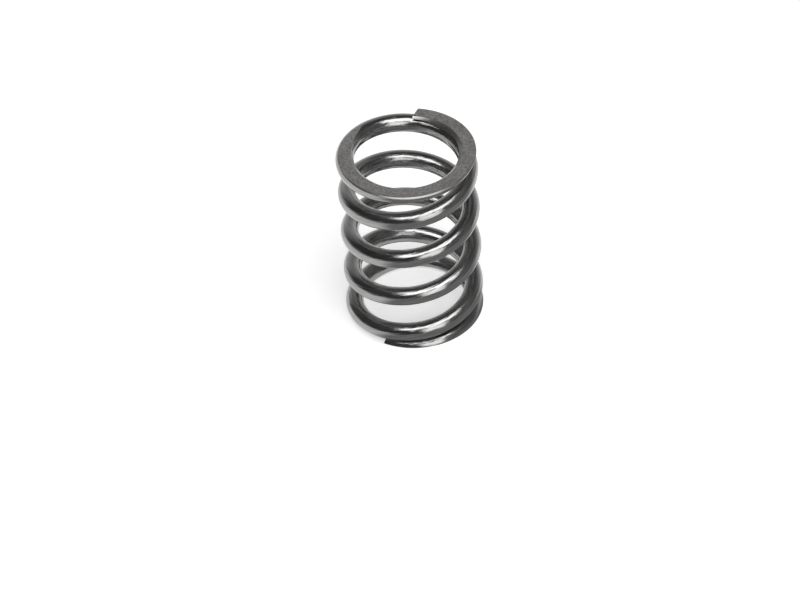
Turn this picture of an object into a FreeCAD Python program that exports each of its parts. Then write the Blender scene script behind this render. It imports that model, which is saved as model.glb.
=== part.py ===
import FreeCAD, Part
import Sketcher
import math
import os

# Compression spring for an engine valve, coiled right-handed from one round wire. Both end turns are
# closed against their neighbour and ground flat, and the ground faces are bevelled at the bore.
# The coil axis is Z, and the lower ground face lies in the XY plane. Lengths are in millimetres.

doc = FreeCAD.newDocument("ValveSpring")

# Driving dimensions
sheet = doc.addObject("Spreadsheet::Sheet", "Sizes")
sizes = [
    ("wire_diameter", 4.2, "round wire"),
    ("outer_diameter", 32.0, "over the coils"),
    ("free_length", 46.0, "between the ground faces, unloaded"),
    ("total_turns", 5.55, "from one wire tip to the other"),
    ("closed_turns", 0.48, "closed part of each end, before it starts to open"),
    ("opening_turns", 0.9, "turns over which an end opens to the full pitch"),
    ("tip_thickness", 1.05, "of the wire left under a ground face at its tip"),
    ("tip_gap", 0.1, "between a wire tip and the turn beside it"),
    ("tip_inset", 0.42, "of a tip towards the coil axis"),
    ("inset_turns", 0.5, "turns over which the inset fades out"),
    ("bore_bevel", 0.74, "width of the bevel at the bore of a ground face"),
    ("rim_break", 0.3, "width of the edge break outside a ground face"),
    ("cut_slant", 15.0, "degrees that the sheared wire end leans from square"),
    ("start_angle", 241.5, "degrees from +X to the lower wire tip"),
]
for row, (name, value, note) in enumerate(sizes, start=1):
    sheet.set(f"A{row}", name)
    sheet.set(f"B{row}", str(value))
    sheet.setAlias(f"B{row}", name)
    sheet.set(f"C{row}", note)
doc.recompute()

wire_radius = sheet.wire_diameter / 2
mean_radius = (sheet.outer_diameter - sheet.wire_diameter) / 2


def smooth(share):
    """Ease from 0 to 1 with no kink at either end."""
    share = min(max(share, 0.0), 1.0)
    return share * share * (3 - 2 * share)


def openness(turn):
    """How far the coil has opened, from 0 in a closed end to 1 at full pitch."""
    from_foot = (turn - sheet.closed_turns) / sheet.opening_turns
    from_head = (sheet.total_turns - turn - sheet.closed_turns) / sheet.opening_turns
    return smooth(from_foot) * smooth(from_head)


def open_turns(start, end, steps=200):
    """The turns between two places, each weighed by how far it has opened, summed over short steps."""
    step = (end - start) / steps
    total = openness(start) + openness(end)
    for i in range(1, steps):
        total += openness(start + i * step) * (4 if i % 2 else 2)
    return total * step / 3


# Two conditions fix the rise of a closed turn and of an open one: one turn from a tip the wire clears
# that tip by the gap, and the ground faces are the free length apart.
tip_rise = math.sqrt((sheet.wire_diameter + sheet.tip_gap) ** 2 - sheet.tip_inset ** 2)
tip_to_tip = sheet.free_length + sheet.wire_diameter - 2 * sheet.tip_thickness
first_open = open_turns(0, 1)
all_open = open_turns(0, sheet.total_turns)
opening_rise = (tip_to_tip - sheet.total_turns * tip_rise) / (all_open - sheet.total_turns * first_open)
closed_pitch = tip_rise - opening_rise * first_open
open_pitch = closed_pitch + opening_rise


def centre_radius(turn):
    """Distance of the wire's centre from the coil axis."""
    from_tip = min(turn, sheet.total_turns - turn)
    return mean_radius - sheet.tip_inset * (1 - smooth(from_tip / sheet.inset_turns))


def coil_points(points_per_turn=16):
    """Points of the wire's centreline, from the lower tip to the upper one."""
    count = math.ceil(sheet.total_turns * points_per_turn)
    height = sheet.tip_thickness - wire_radius
    points = []
    for i in range(count + 1):
        turn = sheet.total_turns * i / count
        if i:
            before = sheet.total_turns * (i - 1) / count
            height += closed_pitch * (turn - before) + opening_rise * open_turns(before, turn, 8)
        angle = math.radians(sheet.start_angle + 360 * turn)
        radius = centre_radius(turn)
        points.append(FreeCAD.Vector(radius * math.cos(angle), radius * math.sin(angle), height))
    return points


# Centreline: a helix whose pitch and radius both change near its ends
curve = Part.BSplineCurve()
curve.interpolate(coil_points())
centreline = doc.addObject("Part::Feature", "Centreline")
centreline.Label = "Wire centreline"
centreline.Shape = curve.toShape()

# Wire section: the slanting face that the shear leaves, an ellipse as wide as the wire is round
section = doc.addObject("Part::Ellipse", "Section")
section.Label = "Sheared wire end"
section.setExpression("MinorRadius", "Sizes.wire_diameter / 2")
section.setExpression("MajorRadius", "Sizes.wire_diameter / 2 / cos(Sizes.cut_slant * 1 deg)")
section.AttachmentSupport = [(centreline, "Edge1")]
section.MapMode = "FrenetNB"
section.MapPathParameter = 0
section.AttachmentOffset = FreeCAD.Placement(
    FreeCAD.Vector(), FreeCAD.Rotation(FreeCAD.Vector(0, 1, 0), -sheet.cut_slant)
)

coiled = doc.addObject("Part::Sweep", "Coiled")
coiled.Label = "Coiled wire"
coiled.Sections = [section]
coiled.Spine = (centreline, ["Edge1"])
coiled.Solid = True
coiled.Frenet = True

# Grinding profile: half the axial section of the space that grinding leaves, a ring as long as the
# spring, with the bore bevels and the rim breaks at 45 degrees
profile = doc.addObject("Sketcher::SketchObject", "GrindingProfile")
profile.Label = "Ground outline"
profile.Placement = FreeCAD.Placement(
    FreeCAD.Vector(), FreeCAD.Rotation(FreeCAD.Vector(1, 0, 0), 90)
)
clear = 2.0
flat_inner = mean_radius - wire_radius + sheet.bore_bevel
flat_outer = mean_radius + wire_radius - sheet.rim_break
corners = [
    (flat_inner, 0),
    (flat_outer, 0),
    (flat_outer + clear, clear),
    (flat_outer + clear, sheet.free_length - clear),
    (flat_outer, sheet.free_length),
    (flat_inner, sheet.free_length),
    (flat_inner - clear, sheet.free_length - clear),
    (flat_inner - clear, clear),
]
START, END = 1, 2
ORIGIN, ORIGIN_POINT = -1, 1
for i, (across, up) in enumerate(corners):
    next_across, next_up = corners[(i + 1) % len(corners)]
    profile.addGeometry(
        Part.LineSegment(FreeCAD.Vector(across, up, 0), FreeCAD.Vector(next_across, next_up, 0)), False
    )
for i in range(len(corners)):
    profile.addConstraint(Sketcher.Constraint("Coincident", i, END, (i + 1) % len(corners), START))

inner_face = "(Sizes.outer_diameter / 2 - Sizes.wire_diameter + Sizes.bore_bevel) * 1 mm"
outer_face = "(Sizes.outer_diameter / 2 - Sizes.rim_break) * 1 mm"
beyond = f"{clear} mm"
foot = "0 mm"
head = "Sizes.free_length * 1 mm"
across_rules = [
    inner_face,
    outer_face,
    f"{outer_face} + {beyond}",
    f"{outer_face} + {beyond}",
    outer_face,
    inner_face,
    f"{inner_face} - {beyond}",
    f"{inner_face} - {beyond}",
]
up_rules = [
    foot,
    foot,
    f"{foot} + {beyond}",
    f"{head} - {beyond}",
    head,
    head,
    f"{head} - {beyond}",
    f"{foot} + {beyond}",
]
for i, (across, up) in enumerate(corners):
    for axis, value, rule in (("DistanceX", across, across_rules[i]), ("DistanceY", up, up_rules[i])):
        number = profile.addConstraint(
            Sketcher.Constraint(axis, ORIGIN, ORIGIN_POINT, i, START, value)
        )
        profile.renameConstraint(number, f"{axis}_{i}")
        profile.setExpression(f"Constraints.{axis}_{i}", rule)

ground_space = doc.addObject("Part::Revolution", "GroundSpace")
ground_space.Label = "Space left by grinding"
ground_space.Source = profile
ground_space.Axis = (0, 0, 1)
ground_space.Base = (0, 0, 0)
ground_space.Angle = 360
ground_space.Solid = True

# The finished spring
spring = doc.addObject("Part::Common", "ValveSpring")
spring.Label = "valve_spring"
spring.Base = coiled
spring.Tool = ground_space

doc.recompute()

for item in doc.Objects:
    if "Invalid" in item.State or "Error" in item.State:
        raise RuntimeError(f"{item.Label} failed: {item.State}")

sub_parts = [spring]
for item in sub_parts:
    if item.Shape.isNull() or not item.Shape.isValid():
        raise RuntimeError(f"{item.Label} has no valid shape")
    if len(item.Shape.Solids) != 1:
        raise RuntimeError(f"{item.Label} is {len(item.Shape.Solids)} solids")

wire_volume = math.pi * wire_radius ** 2 * curve.length()
print(f"open pitch {open_pitch:.2f}, closed pitch {closed_pitch:.2f}")
print(f"wire volume {coiled.Shape.Volume:.1f}, section times length {wire_volume:.1f}")

os.makedirs("parts", exist_ok=True)
for item in sub_parts:
    box = item.Shape.optimalBoundingBox()
    print(f"{item.Label}: {box.XLength:.2f} x {box.YLength:.2f} x {box.ZLength:.2f}")
    item.Shape.exportStep(f"parts/{item.Label}.step")
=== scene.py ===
# %% [markdown]
# # An engine valve spring on a white studio floor
#
# A valve spring is one length of round steel wire, coiled and then ground flat at both ends so that it
# stands square under its retainer. This lesson makes that single piece with Geometry Nodes, gives it the
# three surfaces that its making leaves, and lights it as a product photograph. Lengths are metres in
# Blender, so millimetres are multiplied by MM.

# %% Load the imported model
import bpy
import math
from mathutils import Matrix, Vector


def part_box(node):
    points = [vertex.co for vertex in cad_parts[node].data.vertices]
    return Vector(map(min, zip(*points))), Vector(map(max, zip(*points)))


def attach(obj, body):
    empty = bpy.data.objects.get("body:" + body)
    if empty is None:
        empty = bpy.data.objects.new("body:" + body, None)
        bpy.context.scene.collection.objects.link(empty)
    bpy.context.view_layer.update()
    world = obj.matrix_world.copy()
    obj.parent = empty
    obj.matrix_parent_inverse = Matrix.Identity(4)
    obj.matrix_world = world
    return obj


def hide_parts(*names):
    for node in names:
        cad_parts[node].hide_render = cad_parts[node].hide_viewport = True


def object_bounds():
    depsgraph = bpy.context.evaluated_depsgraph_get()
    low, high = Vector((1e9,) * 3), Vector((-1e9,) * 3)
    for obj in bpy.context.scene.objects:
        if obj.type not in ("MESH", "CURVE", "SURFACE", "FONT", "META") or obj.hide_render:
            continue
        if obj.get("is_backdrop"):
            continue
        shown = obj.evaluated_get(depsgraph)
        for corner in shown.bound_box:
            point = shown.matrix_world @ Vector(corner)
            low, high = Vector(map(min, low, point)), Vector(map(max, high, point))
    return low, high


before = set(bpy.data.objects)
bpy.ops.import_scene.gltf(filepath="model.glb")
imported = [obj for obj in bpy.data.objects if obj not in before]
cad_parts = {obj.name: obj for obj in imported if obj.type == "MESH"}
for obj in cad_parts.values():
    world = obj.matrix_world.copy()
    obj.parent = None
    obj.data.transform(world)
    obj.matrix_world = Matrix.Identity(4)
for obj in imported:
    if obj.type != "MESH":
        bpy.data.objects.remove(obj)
cad_box = [list(corner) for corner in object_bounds()]

MM = 0.001
cad_low, cad_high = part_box("valve_spring")
cad_size = (cad_high - cad_low) / MM
print("CAD spring, mm:", [round(side, 3) for side in cad_size])

# %% [markdown]
# ## Sizes of the spring
#
# A spring maker is given a few numbers: the wire, the diameter over the coils, the free length, the
# turns, and how the end turns are closed and ground. The same numbers drive the solid model, so the same
# law gives the same coil here. The free length is read from that model's box.

# %% Driving sizes
wire_diameter = 4.2 * MM
outer_diameter = 32.0 * MM
free_length = cad_high.z - cad_low.z
total_turns = 5.55
closed_turns = 0.48
opening_turns = 0.9
tip_thickness = 1.05 * MM
tip_gap = 0.1 * MM
tip_inset = 0.42 * MM
inset_turns = 0.5
bore_bevel = 0.74 * MM
rim_break = 0.3 * MM
edge_radius = 0.35 * MM
cut_slant = math.radians(15)
start_angle = math.radians(241.5)

wire_radius = wire_diameter / 2
mean_radius = (outer_diameter - wire_diameter) / 2
print("wire radius, mm:", round(wire_radius / MM, 3), "mean coil radius, mm:", round(mean_radius / MM, 3))

# %% [markdown]
# ## Pitches
#
# Two conditions fix how fast the coil climbs. One turn from a wire tip, the wire passes just clear of
# that tip, and the two ground faces are the free length apart. The climb eases from the closed pitch to
# the open one, and the area under that easing curve is a polynomial, so no sum over small steps is
# needed. The values are worked out here once, and the node tree takes them as named inputs.


# %% Work out the closed and the open pitch
def eased_area(share):
    """Area under the easing curve 3s² - 2s³ from 0 to share, which grows evenly past share 1."""
    inside = min(max(share, 0.0), 1.0)
    return inside ** 3 - inside ** 4 / 2 + max(share - 1.0, 0.0)


def open_turns(turn):
    """Turns from the lower tip to this place, each weighed by how far the coil has opened there."""
    last_opening = total_turns - closed_turns - opening_turns
    opened = eased_area((turn - closed_turns) / opening_turns)
    closed_again = eased_area((turn - last_opening) / opening_turns)
    return opening_turns * (opened - closed_again)


first_open = open_turns(1)
all_open = open_turns(total_turns)
tip_rise = math.sqrt((wire_diameter + tip_gap) ** 2 - tip_inset ** 2)
tip_to_tip = free_length + wire_diameter - 2 * tip_thickness
opening_rise = (tip_to_tip - total_turns * tip_rise) / (all_open - total_turns * first_open)
closed_pitch = tip_rise - opening_rise * first_open
open_pitch = closed_pitch + opening_rise
print("closed pitch, mm:", round(closed_pitch / MM, 3), "open pitch, mm:", round(open_pitch / MM, 3))

# %% [markdown]
# ## Writing node trees
#
# A formula drawn as Math nodes is hard to read in a script. This small class lets a number inside a
# tree be added and multiplied as in Python, and each such step adds its Math node. The same helper
# function adds any other node, sets its properties and feeds its inputs. Geometry trees and shader
# trees share both.


# %% Node helpers
def feed(tree, value, socket):
    """Link another node's output to this input, or set the input to a plain value."""
    if isinstance(value, Number):
        value = value.socket
    if isinstance(value, bpy.types.NodeSocket):
        tree.links.new(value, socket)
    else:
        socket.default_value = value


def add_node(tree, kind, inputs=None, **settings):
    """Add a node with its settings, and feed the inputs given by name or by number."""
    node = tree.nodes.new(kind)
    for name, value in settings.items():
        setattr(node, name, value)
    for key, value in (inputs or {}).items():
        feed(tree, value, node.inputs[key])
    return node


# %% A number inside a node tree
class Number:
    """A number in a node tree that can be added, subtracted, multiplied and divided."""

    def __init__(self, tree, socket):
        self.tree = tree
        self.socket = socket

    def math(self, operation, *values):
        node = add_node(self.tree, "ShaderNodeMath", dict(enumerate(values)), operation=operation)
        return Number(self.tree, node.outputs[0])

    def __add__(self, other):
        return self.math("ADD", self, other)

    def __radd__(self, other):
        return self.math("ADD", other, self)

    def __sub__(self, other):
        return self.math("SUBTRACT", self, other)

    def __rsub__(self, other):
        return self.math("SUBTRACT", other, self)

    def __mul__(self, other):
        return self.math("MULTIPLY", self, other)

    def __rmul__(self, other):
        return self.math("MULTIPLY", other, self)

    def __truediv__(self, other):
        return self.math("DIVIDE", self, other)

    def __pow__(self, other):
        return self.math("POWER", self, other)

    def least(self, other):
        return self.math("MINIMUM", self, other)

    def most(self, other):
        return self.math("MAXIMUM", self, other)

    def cosine(self):
        return self.math("COSINE", self)

    def sine(self):
        return self.math("SINE", self)

    def tangent(self):
        return self.math("TANGENT", self)

    def rounded_up(self):
        return self.math("CEIL", self)


# %% Vectors and fades
def xyz(tree, x, y, z):
    """Put three numbers together as a vector."""
    return add_node(tree, "ShaderNodeCombineXYZ", {"X": x, "Y": y, "Z": z}).outputs["Vector"]


def parts_of(tree, vector):
    """Take a vector apart into three numbers."""
    outputs = add_node(tree, "ShaderNodeSeparateXYZ", {"Vector": vector}).outputs
    return [Number(tree, outputs[name]) for name in "XYZ"]


def fade(tree, value, start, end, first, last):
    """Go smoothly from one level to another while a value goes from start to end."""
    node = add_node(tree, "ShaderNodeMapRange", {
        "Value": value,
        "From Min": start,
        "From Max": end,
        "To Min": first,
        "To Max": last,
    }, interpolation_type="SMOOTHSTEP")
    return Number(tree, node.outputs["Result"])


# %% [markdown]
# ## The coil as a rule
#
# The wire could be a ready-made spiral curve with a bevel, or a Screw modifier, but neither lets the
# pitch and the radius change near the ends. So a straight line is resampled, and every point of it is
# moved by the spring's own law: its share of the turns gives the angle, the height and the distance from
# the axis. All sizes come in as the tree's named inputs, so the tree can be used again for another
# spring.


# %% Tree inputs
spring_inputs = {
    "Wire Radius": wire_radius,
    "Mean Radius": mean_radius,
    "Free Length": free_length,
    "Total Turns": total_turns,
    "Closed Turns": closed_turns,
    "Opening Turns": opening_turns,
    "Closed Pitch": closed_pitch,
    "Opening Rise": opening_rise,
    "Tip Thickness": tip_thickness,
    "Tip Inset": tip_inset,
    "Inset Turns": inset_turns,
    "Bore Bevel": bore_bevel,
    "Rim Break": rim_break,
    "Edge Radius": edge_radius,
    "Cut Slant": cut_slant,
    "Start Angle": start_angle,
}

tree = bpy.data.node_groups.new("Ground coil spring", "GeometryNodeTree")
for name in spring_inputs:
    tree.interface.new_socket(name, in_out="INPUT", socket_type="NodeSocketFloat")
for name in ("Steps Per Turn", "Sides"):
    tree.interface.new_socket(name, in_out="INPUT", socket_type="NodeSocketInt")
for name in ("Wire Finish", "Ground Finish", "Edge Finish"):
    tree.interface.new_socket(name, in_out="INPUT", socket_type="NodeSocketMaterial")
tree.interface.new_socket("Spring", in_out="OUTPUT", socket_type="NodeSocketGeometry")
given = add_node(tree, "NodeGroupInput").outputs


def size(name):
    """One of the tree's inputs, as a number for formulas."""
    return Number(tree, given[name])


def eased(share):
    """The easing curve 3s² - 2s³, held at 0 and 1 outside."""
    inside = share.most(0.0).least(1.0)
    return inside * inside * (3.0 - 2.0 * inside)


def eased_area_nodes(share):
    """Area under the easing curve, as in the pitch calculation above."""
    inside = share.most(0.0).least(1.0)
    return inside ** 3.0 - inside ** 4.0 / 2.0 + (share - 1.0).most(0.0)


print("inputs of the spring tree:", len(tree.interface.items_tree) - 1)

# %% Bend a straight line into the coil
place = add_node(tree, "GeometryNodeSplineParameter")
turn = Number(tree, place.outputs["Factor"]) * size("Total Turns")

last_opening = size("Total Turns") - size("Closed Turns") - size("Opening Turns")
opened = eased_area_nodes((turn - size("Closed Turns")) / size("Opening Turns"))
closed_again = eased_area_nodes((turn - last_opening) / size("Opening Turns"))
opened_turns = size("Opening Turns") * (opened - closed_again)
climbed = size("Closed Pitch") * turn + size("Opening Rise") * opened_turns
height = size("Tip Thickness") - size("Wire Radius") + climbed

from_tip = turn.least(size("Total Turns") - turn)
inset = size("Tip Inset") * (1.0 - eased(from_tip / size("Inset Turns")))
radius = size("Mean Radius") - inset
angle = size("Start Angle") + turn * math.tau

line = add_node(tree, "GeometryNodeCurvePrimitiveLine")
steps = (size("Total Turns") * size("Steps Per Turn")).rounded_up()
points = add_node(tree, "GeometryNodeResampleCurve", {"Curve": line.outputs["Curve"], "Count": steps})
coil = add_node(tree, "GeometryNodeSetPosition", {
    "Geometry": points.outputs["Curve"],
    "Position": xyz(tree, radius * angle.cosine(), radius * angle.sine(), height),
})
print("nodes that place the coil:", len(tree.nodes))

# %% [markdown]
# ## The wire round the coil
#
# A circle is swept along the coil. It leans a little, because shears cut the wire and leave its end
# slanting. With the curve's normals set to stay level, X of the circle points away from the coil axis.
#
# Each point also keeps its place on the wire as if the wire were still straight: across the section,
# and along the length. The drawn lines of the finish follow that place round every turn, with no seam.


# %% Helpers that keep a value on the geometry
def store(geometry, name, value, kind, domain):
    """Keep a value under a name, on each point, corner or face."""
    node = add_node(tree, "GeometryNodeStoreNamedAttribute", {
        "Geometry": geometry,
        "Name": name,
        "Value": value,
    }, data_type=kind, domain=domain)
    return node.outputs["Geometry"]


def stored(name, kind):
    """Read back what was kept under a name."""
    node = add_node(tree, "GeometryNodeInputNamedAttribute", {"Name": name}, data_type=kind)
    return node.outputs["Attribute"]


# %% Sweep the leaning wire section along the coil
upright = add_node(tree, "GeometryNodeSetCurveNormal", {"Curve": coil.outputs["Geometry"]}, mode="Z_UP")
measured = store(upright.outputs["Curve"], "along_wire", place.outputs["Length"], "FLOAT", "POINT")

circle = add_node(tree, "GeometryNodeCurvePrimitiveCircle", {
    "Resolution": given["Sides"],
    "Radius": given["Wire Radius"],
})
position = add_node(tree, "GeometryNodeInputPosition").outputs["Position"]
marked = store(circle.outputs["Curve"], "across_wire", position, "FLOAT_VECTOR", "POINT")
outwards = parts_of(tree, position)[0]
lean = outwards * size("Cut Slant").tangent() * -1.0
section = add_node(tree, "GeometryNodeSetPosition", {
    "Geometry": marked,
    "Offset": xyz(tree, 0.0, 0.0, lean),
})
swept = add_node(tree, "GeometryNodeCurveToMesh", {
    "Curve": measured,
    "Profile Curve": section.outputs["Geometry"],
    "Fill Caps": True,
})
print("nodes that sweep the wire:", len(tree.nodes))

# %% Keep each point's place on the straightened wire
straightened = add_node(tree, "ShaderNodeVectorMath", {
    0: stored("across_wire", "FLOAT_VECTOR"),
    1: xyz(tree, 0.0, 0.0, stored("along_wire", "FLOAT")),
}, operation="ADD").outputs["Vector"]
wire = store(swept.outputs["Mesh"], "wire_place", straightened, "FLOAT_VECTOR", "CORNER")
print("nodes with the wire's places:", len(tree.nodes))

# %% [markdown]
# ## Grinding the ends
#
# The coiled spring passes between two grinding wheels, which leave its ends flat and square to the
# axis, and each flat runs out to nothing where the wire climbs away. Then the bore edge is bevelled and
# the rim is broken, which also leaves the edges of the flat a little round.
#
# All of this is one turned outline: a rectangle as tall as the spring, with its corners cut at 45
# degrees and the new corners rounded, swept round the axis. What the wire and this ring have in common
# is the ground spring. The Manifold solver of Mesh Boolean is fast and carries attributes across, so
# faces that the ring makes are still marked as ground afterwards.

# %% Make the space that grinding leaves
clear = 2.0 * MM
edge_steps = 3
ring_steps = 360

flat_inner = size("Mean Radius") - size("Wire Radius") + size("Bore Bevel")
flat_outer = size("Mean Radius") + size("Wire Radius") - size("Rim Break")
outline = add_node(tree, "GeometryNodeCurvePrimitiveQuadrilateral", {
    "Width": flat_outer - flat_inner + 2.0 * clear,
    "Height": size("Free Length"),
})
bevelled = add_node(tree, "GeometryNodeFilletCurve", {
    "Curve": outline.outputs["Curve"],
    "Count": 1,
    "Radius": clear,
}, mode="POLY")
rounded = add_node(tree, "GeometryNodeFilletCurve", {
    "Curve": bevelled.outputs["Curve"],
    "Count": edge_steps,
    "Radius": given["Edge Radius"],
}, mode="POLY")
round_path = add_node(tree, "GeometryNodeCurvePrimitiveCircle", {
    "Resolution": ring_steps,
    "Radius": (flat_inner + flat_outer) / 2.0,
})
ring = add_node(tree, "GeometryNodeCurveToMesh", {
    "Curve": round_path.outputs["Curve"],
    "Profile Curve": rounded.outputs["Curve"],
})
raised = add_node(tree, "GeometryNodeTransform", {
    "Geometry": ring.outputs["Mesh"],
    "Translation": xyz(tree, 0.0, 0.0, size("Free Length") / 2.0),
})
grinding = store(raised.outputs["Geometry"], "ground", True, "BOOLEAN", "FACE")
print("nodes with the grinding space:", len(tree.nodes))

# %% Keep what both have in common
ground_spring = add_node(tree, "GeometryNodeMeshBoolean", operation="INTERSECT", solver="MANIFOLD")
for solid in (wire, grinding):
    tree.links.new(solid, ground_spring.inputs["Mesh 2"])

sharp_angle = math.radians(9)
is_sharp = add_node(tree, "FunctionNodeCompare", {
    "A": add_node(tree, "GeometryNodeInputMeshEdgeAngle").outputs["Unsigned Angle"],
    "B": sharp_angle,
}, operation="GREATER_THAN")
smooth_faces = add_node(tree, "GeometryNodeSetShadeSmooth", {
    "Geometry": ground_spring.outputs["Mesh"],
    "Shade Smooth": True,
}, domain="FACE")
sharp_edges = add_node(tree, "GeometryNodeSetShadeSmooth", {
    "Geometry": smooth_faces.outputs["Geometry"],
    "Selection": is_sharp.outputs["Result"],
    "Shade Smooth": False,
}, domain="EDGE")
print("nodes with the ground ends:", len(tree.nodes))

# %% [markdown]
# ## Which surface gets which finish
#
# The spring is one piece of steel with three surfaces. The drawn wire is dark and glossy. The flats are
# matt from the wheel. The bevels and broken edges are burnished by tumbling. The mark that the boolean
# kept tells ground faces from wire, and a face that points straight up or down is a flat.

# %% Give each face its finish
realized = add_node(tree, "GeometryNodeRealizeInstances", {"Geometry": sharp_edges.outputs["Geometry"]})
is_ground = stored("ground", "BOOLEAN")
facing_up = parts_of(tree, add_node(tree, "GeometryNodeInputNormal").outputs["Normal"])[2]
level = add_node(tree, "FunctionNodeCompare", {
    "A": facing_up.math("ABSOLUTE", facing_up),
    "B": math.cos(sharp_angle / 2),
}, operation="GREATER_THAN")
is_flat = add_node(tree, "FunctionNodeBooleanMath", {
    0: is_ground,
    1: level.outputs["Result"],
}, operation="AND")

finished = realized.outputs["Geometry"]
finish_places = (
    ("Wire Finish", True),
    ("Edge Finish", is_ground),
    ("Ground Finish", is_flat.outputs["Boolean"]),
)
for finish_name, faces in finish_places:
    finished = add_node(tree, "GeometryNodeSetMaterial", {
        "Geometry": finished,
        "Selection": faces,
        "Material": given[finish_name],
    }).outputs["Geometry"]
add_node(tree, "NodeGroupOutput", {"Spring": finished})
print("nodes in the whole tree:", len(tree.nodes))

# %% [markdown]
# ## Grain of a metal surface
#
# All three surfaces are the same steel, and none is even. Each has small marks, as long or as round as
# its making left them, and larger patches where it is a little lighter and duller. One node group makes
# both from two noises and hands out a colour, a roughness and a height for bump. It is built once, and
# each finish places it with its own scale and strength.


# %% Node group for the grain
def centred_noise(tree, place, detail):
    """Noise from -1 to 1 about 0, with cells one unit wide."""
    usual_low = 0.28
    usual_high = 0.72
    noise = add_node(tree, "ShaderNodeTexNoise", {"Vector": place, "Scale": 1.0, "Detail": detail})
    spread = add_node(tree, "ShaderNodeMapRange", {
        "Value": noise.outputs[0],
        "From Min": usual_low,
        "From Max": usual_high,
        "To Min": -1.0,
        "To Max": 1.0,
    })
    return Number(tree, spread.outputs["Result"])


def make_grain_group():
    """Build the group that turns a place on the metal into a colour, a roughness and a height."""
    group = bpy.data.node_groups.new("Metal grain", "ShaderNodeTree")
    inputs = {
        "Place": "NodeSocketVector",
        "Marks Per Metre": "NodeSocketVector",
        "Patches Per Metre": "NodeSocketVector",
        "Patch Share": "NodeSocketFloat",
        "Colour": "NodeSocketColor",
        "Colour Spread": "NodeSocketFloat",
        "Roughness": "NodeSocketFloat",
        "Roughness Spread": "NodeSocketFloat",
    }
    for name, kind in inputs.items():
        group.interface.new_socket(name, in_out="INPUT", socket_type=kind)
    group.interface.new_socket("Colour", in_out="OUTPUT", socket_type="NodeSocketColor")
    group.interface.new_socket("Roughness", in_out="OUTPUT", socket_type="NodeSocketFloat")
    group.interface.new_socket("Height", in_out="OUTPUT", socket_type="NodeSocketFloat")

    sockets = add_node(group, "NodeGroupInput").outputs
    noises = []
    for scale, detail in (("Marks Per Metre", 3.0), ("Patches Per Metre", 2.0)):
        scaled = add_node(group, "ShaderNodeVectorMath", {
            0: sockets["Place"],
            1: sockets[scale],
        }, operation="MULTIPLY")
        noises.append(centred_noise(group, scaled.outputs["Vector"], detail))
    marks, patches = noises
    share = Number(group, sockets["Patch Share"])
    uneven = marks * (1.0 - share) + patches * share

    shade = 1.0 + uneven * Number(group, sockets["Colour Spread"])
    tinted = add_node(group, "ShaderNodeVectorMath", {
        "Vector": sockets["Colour"],
        "Scale": shade,
    }, operation="SCALE")
    roughness = Number(group, sockets["Roughness"]) + uneven * Number(group, sockets["Roughness Spread"])
    add_node(group, "NodeGroupOutput", {
        "Colour": tinted.outputs["Vector"],
        "Roughness": roughness.most(0.0),
        "Height": marks,
    })
    return group


grain_group = make_grain_group()
print("nodes in the grain group:", len(grain_group.nodes))


# %% A finish made with the grain
def new_finish(name, metallic, place_maker, bump_height, grain):
    """A material whose colour, roughness and bump come from the grain group, set by the values in grain."""
    finish = bpy.data.materials.new(name)
    finish.use_nodes = True
    nodes = finish.node_tree
    shader = nodes.nodes["Principled BSDF"]
    shader.inputs["Metallic"].default_value = metallic
    grain_inputs = {"Place": place_maker(nodes), **grain}
    texture = add_node(nodes, "ShaderNodeGroup", grain_inputs, node_tree=grain_group).outputs
    bump = add_node(nodes, "ShaderNodeBump", {
        "Distance": bump_height,
        "Height": texture["Height"],
    })
    feed(nodes, texture["Colour"], shader.inputs["Base Color"])
    feed(nodes, texture["Roughness"], shader.inputs["Roughness"])
    feed(nodes, bump.outputs["Normal"], shader.inputs["Normal"])
    return finish


# %% [markdown]
# ## Drawn wire
#
# Spring wire is pulled through a die, which leaves fine lines along it, and is then hardened and
# tempered in oil, which leaves it a dark, even grey with a soft gloss. The lines are the grain group's
# marks, a third of a millimetre across and about twelve times as long. They read the place on the
# straightened wire, turned slowly about its middle, because the lines wind round a real wire instead of
# running true.


# %% Finish of the drawn wire
def drawn_place(nodes):
    """The place on the straightened wire, with the lines winding slowly round it."""
    winding_per_metre = 45.0
    straight = add_node(nodes, "ShaderNodeAttribute", attribute_name="wire_place").outputs["Vector"]
    along_wire = parts_of(nodes, straight)[2]
    wound = add_node(nodes, "ShaderNodeVectorRotate", {
        "Vector": straight,
        "Angle": along_wire * winding_per_metre,
    }, rotation_type="Z_AXIS")
    return wound.outputs["Vector"]


wire_finish = new_finish("Drawn spring wire", 1.0, drawn_place, 0.013 * MM, {
    "Marks Per Metre": (3000, 3000, 240),
    "Patches Per Metre": (900, 900, 80),
    "Patch Share": 0.35,
    "Colour": (0.32, 0.318, 0.315, 1),
    "Colour Spread": 0.3,
    "Roughness": 0.15,
    "Roughness Spread": 0.09,
})
print(wire_finish.name, "nodes:", len(wire_finish.node_tree.nodes))

# %% [markdown]
# ## Ground flats
#
# A grinding wheel leaves a face of tiny facets that point every way. From a step away it is a matt,
# slightly warm grey with a fine speckle, so the marks are as wide as they are long, and strong in both
# colour and bump. Object coordinates serve here, because a flat isn't bent.


# %% Finish of the ground flats
def solid_place(nodes):
    """The place in the spring's own frame."""
    return add_node(nodes, "ShaderNodeTexCoord").outputs["Object"]


ground_finish = new_finish("Ground end face", 0.6, solid_place, 0.02 * MM, {
    "Marks Per Metre": (2600, 2600, 2600),
    "Patches Per Metre": (250, 250, 250),
    "Patch Share": 0.15,
    "Colour": (0.29, 0.281, 0.273, 1),
    "Colour Spread": 0.5,
    "Roughness": 0.5,
    "Roughness Spread": 0.1,
})
print(ground_finish.name, "nodes:", len(ground_finish.node_tree.nodes))

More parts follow.
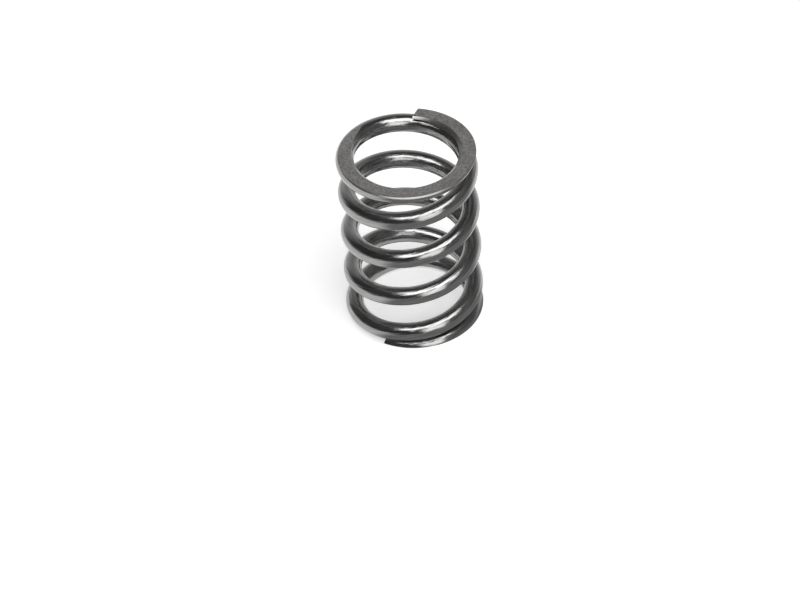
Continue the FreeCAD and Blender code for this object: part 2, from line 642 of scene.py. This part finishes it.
# %% [markdown]
# ## Burnished edges
#
# Springs are tumbled or peened after grinding, which burnishes the bevel and the rim. They shine in a
# thin line where they catch a lamp. The marks are round and under a millimetre wide. They change the
# gloss and the colour a little and the shape hardly at all, so the line stays whole.

# %% Finish of the bevels and broken edges
edge_finish = new_finish("Burnished edge", 1.0, solid_place, 0.0008 * MM, {
    "Marks Per Metre": (1300, 1300, 1300),
    "Patches Per Metre": (300, 300, 300),
    "Patch Share": 0.4,
    "Colour": (0.42, 0.415, 0.41, 1),
    "Colour Spread": 0.1,
    "Roughness": 0.31,
    "Roughness Spread": 0.06,
})
print(edge_finish.name, "nodes:", len(edge_finish.node_tree.nodes))

# %% [markdown]
# ## From the tree to a mesh
#
# The modifier's inputs are set by each socket's identifier, before the object is first evaluated. The
# evaluated result is copied to a plain mesh, and the object that carried the modifier is deleted, so
# what rides on the model is an ordinary mesh at the origin. It hangs on the root body, and the solid
# valve_spring that it stands for is hidden.


# %% Bake the tree to a plain mesh
def add_object(name, data):
    """Make an object of this data and put it in the scene."""
    thing = bpy.data.objects.new(name, data)
    bpy.context.scene.collection.objects.link(thing)
    return thing


steps_per_turn = 180
wire_sides = 80

blank = add_object("Spring maker", bpy.data.meshes.new("Blank"))
modifier = blank.modifiers.new("Spring", "NODES")
modifier.node_group = tree
values = {
    **spring_inputs,
    "Steps Per Turn": steps_per_turn,
    "Sides": wire_sides,
    "Wire Finish": wire_finish,
    "Ground Finish": ground_finish,
    "Edge Finish": edge_finish,
}
for item in tree.interface.items_tree:
    if item.in_out == "INPUT":
        modifier[item.identifier] = values[item.name]

evaluated = blank.evaluated_get(bpy.context.evaluated_depsgraph_get())
mesh = bpy.data.meshes.new_from_object(evaluated)
mesh.name = "Valve spring"
bpy.data.objects.remove(blank)
spring = add_object("valve_spring_wire", mesh)
print("faces:", len(mesh.polygons), "finishes:", [finish.name for finish in mesh.materials])

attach(spring, "root")
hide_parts("valve_spring")

# %% [markdown]
# ## Camera
#
# The photograph looks down on the spring from about 41 degrees with a long lens. The spring's middle is
# not at the picture's middle, and the spring leans a little in it. Both are set by turning the camera,
# not by shifting the lens, so that other views keep the object in frame. First the camera looks straight
# at the middle of the spring, then it is rolled, then it is aimed aside by the angle between the
# picture's middle and the pixel where the spring's middle belongs.

# %% Camera at the photograph's angle
image_width, image_height = 800, 600
sensor_width = 36.0
lens = 159.04
view_elevation = math.radians(41.397)
view_roll = math.radians(-3.412)
view_distance = 807.8 * MM
middle_pixel = (410.709, 228.597)

middle = Vector((0, 0, free_length / 2))
back = Vector((0, -math.cos(view_elevation), math.sin(view_elevation)))
up = Vector((0, math.sin(view_elevation), math.cos(view_elevation)))
right = Vector((1, 0, 0))
straight_on = Matrix((right, up, back)).transposed()
pixel_size = sensor_width / image_width
towards = Vector((
    (middle_pixel[0] - image_width / 2) * pixel_size,
    (image_height / 2 - middle_pixel[1]) * pixel_size,
    -lens,
))
aim = towards.rotation_difference(Vector((0, 0, -1))).to_matrix()
turned = straight_on @ Matrix.Rotation(view_roll, 3, "Z") @ aim

camera = add_object("Camera", bpy.data.cameras.new("Camera"))
camera.data.lens = lens
camera.data.sensor_width = sensor_width
camera.data.clip_start = 0.01
camera.data.clip_end = 50
camera.location = middle + back * view_distance
camera.rotation_euler = turned.to_euler()
bpy.context.scene.camera = camera
print("camera at, mm:", [round(value / MM, 1) for value in camera.location])

# %% [markdown]
# ## Floor
#
# The photograph's floor is white, with only a soft shadow round the foot of the spring. Making it white
# with more light would also wash out the metal, so the paper stays a plain pale colour, and it glows a
# little for the camera and in reflections. The shadow still shows, because the glow is only added to the
# light that the paper sends back.
#
# The undersides of the front turns mirror a darker floor than those of the back turns. A photographer gets
# that contour with a dark card laid beside a shiny thing. Here there is no card: the paper's material
# paints it, and only reflections see it. Towards the front right the glow fades and the paper's colour
# darkens, a painted shade, and towards the back left the glow stays, a painted light.
# Places in the room are given by a tilt and a bearing seen from the spring. The helpers here turn those
# into a direction, and fade a level from the paper's dark side to its bright side.


# %% Directions in the room
def direction_to(tilt, bearing):
    """Direction to a place in the room. Tilt is from straight up, bearing clockwise from the back."""
    across = math.sin(tilt)
    return Vector((across * math.sin(bearing), across * math.cos(bearing), math.cos(tilt)))


def closeness(tree, direction, target):
    """How nearly a direction points at a target: 1 straight at it, 0 square to it, -1 away from it."""
    dot = add_node(tree, "ShaderNodeVectorMath", {0: direction, 1: target}, operation="DOT_PRODUCT")
    return Number(tree, dot.outputs["Value"])


def by_side(tree, direction, dark, bright):
    """Go from one level on the paper's dark side to another on its bright side."""
    dark_until = -0.55
    bright_from = -0.15
    nearness = closeness(tree, direction, to_bright_paper)
    return fade(tree, nearness, start=dark_until, end=bright_from, first=dark, last=bright)


along_floor = math.radians(90)
to_bright_paper = direction_to(along_floor, math.radians(329))
print("the paper is brightest towards:", [round(value, 2) for value in to_bright_paper])

# %% White studio floor
floor_half = 3.0
floor_drop = 0.01 * MM
corners = [(-1, -1), (1, -1), (1, 1), (-1, 1)]
floor_mesh = bpy.data.meshes.new("Floor")
floor_points = [(x * floor_half, y * floor_half, -floor_drop) for x, y in corners]
floor_mesh.from_pydata(floor_points, [], [(0, 1, 2, 3)])
floor = add_object("Floor", floor_mesh)
floor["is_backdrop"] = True

floor_level = 0.8
floor_glow = 0.52
# How far the painted shade darkens the paper in reflections.
painted_reflection_shade = 0.45
floor_finish = bpy.data.materials.new("White studio paper")
floor_finish.use_nodes = True
nodes = floor_finish.node_tree
nodes.nodes.clear()
spot = add_node(nodes, "ShaderNodeTexCoord").outputs["Object"]
from_spring = add_node(nodes, "ShaderNodeVectorMath", {0: spot}, operation="NORMALIZE").outputs["Vector"]
# Painted light and shade, seen only in reflections: 1 towards the back left, where the paper keeps its
# glow, 0 towards the front right, where it darkens.
painted_lit_side = by_side(nodes, from_spring, dark=0.0, bright=1.0)
rays = add_node(nodes, "ShaderNodeLightPath").outputs
mirrored = Number(nodes, rays["Is Glossy Ray"]).most(Number(nodes, rays["Is Transmission Ray"]))
# Painted shade: in reflections the paper's colour darkens towards the front right.
painted_shade_in_reflections = mirrored * (1.0 - painted_lit_side) * painted_reflection_shade
paper = add_node(nodes, "ShaderNodeBsdfDiffuse", {"Color": floor_level * (1.0 - painted_shade_in_reflections)})
# The camera sees the glow everywhere. In reflections it is a painted light, full only towards the back
# left.
seen = Number(nodes, rays["Is Camera Ray"]).most(mirrored * painted_lit_side)
glow = add_node(nodes, "ShaderNodeEmission", {"Color": (1, 1, 1, 1), "Strength": seen * floor_glow})
both = add_node(nodes, "ShaderNodeAddShader", {0: paper.outputs[0], 1: glow.outputs[0]})
add_node(nodes, "ShaderNodeOutputMaterial", {"Surface": both.outputs[0]})
floor_mesh.materials.append(floor_finish)
print("floor size, m:", 2 * floor_half)

# %% [markdown]
# ## Room
#
# Polished metal is mostly a picture of the room round it, so the room matters more than the metal's own
# colour. Here it is a world in four parts: a dim ceiling, a pale band just above the floor where the
# paper rises, brightest behind the spring and to its left, a softly lit wall behind the spring, which
# fades towards the sides and upwards, and a faint haze to the right of the front lamp.

# %% World
world = bpy.data.worlds.new("Studio")
bpy.context.scene.world = world
world.use_nodes = True
sky = world.node_tree
sky.nodes.clear()
direction = add_node(sky, "ShaderNodeTexCoord").outputs["Generated"]
upwards = parts_of(sky, direction)[2]

ceiling = 0.072
wall_level = 0.62
haze_level = 0.12
paper_level = by_side(sky, direction, dark=0.16, bright=0.5)
paper_rise = fade(sky, upwards, start=0.06, end=0.17, first=1.0, last=0.0) * paper_level
towards_wall = closeness(sky, direction, direction_to(along_floor, math.radians(12)))
wall_height = fade(sky, upwards, start=0.1, end=0.9, first=wall_level, last=0.0)
wall_width = fade(sky, towards_wall, start=0.3, end=0.85, first=0.0, last=1.0)
towards_haze = closeness(sky, direction, direction_to(math.radians(52), math.radians(120)))
haze = fade(sky, towards_haze, start=0.55, end=0.95, first=0.0, last=haze_level)
strength = paper_rise.most(wall_height * wall_width) + haze + ceiling
backdrop = add_node(sky, "ShaderNodeBackground", {"Color": (1, 1, 1, 1), "Strength": strength})
add_node(sky, "ShaderNodeOutputWorld", {"Surface": backdrop.outputs[0]})
print("nodes in the world:", len(sky.nodes))

# %% [markdown]
# ## Lamps
#
# The two bright stripes that follow every turn are the mirror images of two softboxes: a wide one
# overhead and a smaller one in front. Their sizes and places decide where the stripes start and end. A
# lamp's power grows with its area here, so that a softbox stays as bright when its size is changed.
# The Standard view then shows each colour as it is written.


# %% Softboxes
def softbox(name, tilt, bearing, distance, width, depth, radiance):
    """A rectangular lamp that faces the spring from a place given by its tilt, bearing and distance."""
    data = bpy.data.lights.new(name, "AREA")
    data.shape = "RECTANGLE"
    data.size = width
    data.size_y = depth
    data.energy = radiance * math.pi * width * depth
    away = direction_to(tilt, bearing)
    lamp = add_object(name, data)
    lamp.location = middle + away * distance
    lamp.rotation_euler = away.to_track_quat("Z", "Y").to_euler()
    print(name, "watts:", round(data.energy, 2))


softbox(
    "Overhead softbox",
    tilt=math.radians(15.5),
    bearing=math.radians(166),
    distance=1.0,
    width=1.03,
    depth=0.54,
    radiance=3.7,
)
softbox(
    "Front softbox",
    tilt=math.radians(61),
    bearing=math.radians(158),
    distance=1.0,
    width=0.58,
    depth=0.76,
    radiance=2.2,
)
bpy.context.scene.view_settings.view_transform = "Standard"

# %% [markdown]
# ## The two boxes
#
# The box of the visible model is printed beside the box of the solid one.

# %% Print the two boxes side by side
visual_box = [list(corner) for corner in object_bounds()]
for label, box in (("CAD box, mm:", cad_box), ("visual box, mm:", visual_box)):
    print(label, [[round(value / MM, 3) for value in corner] for corner in box])
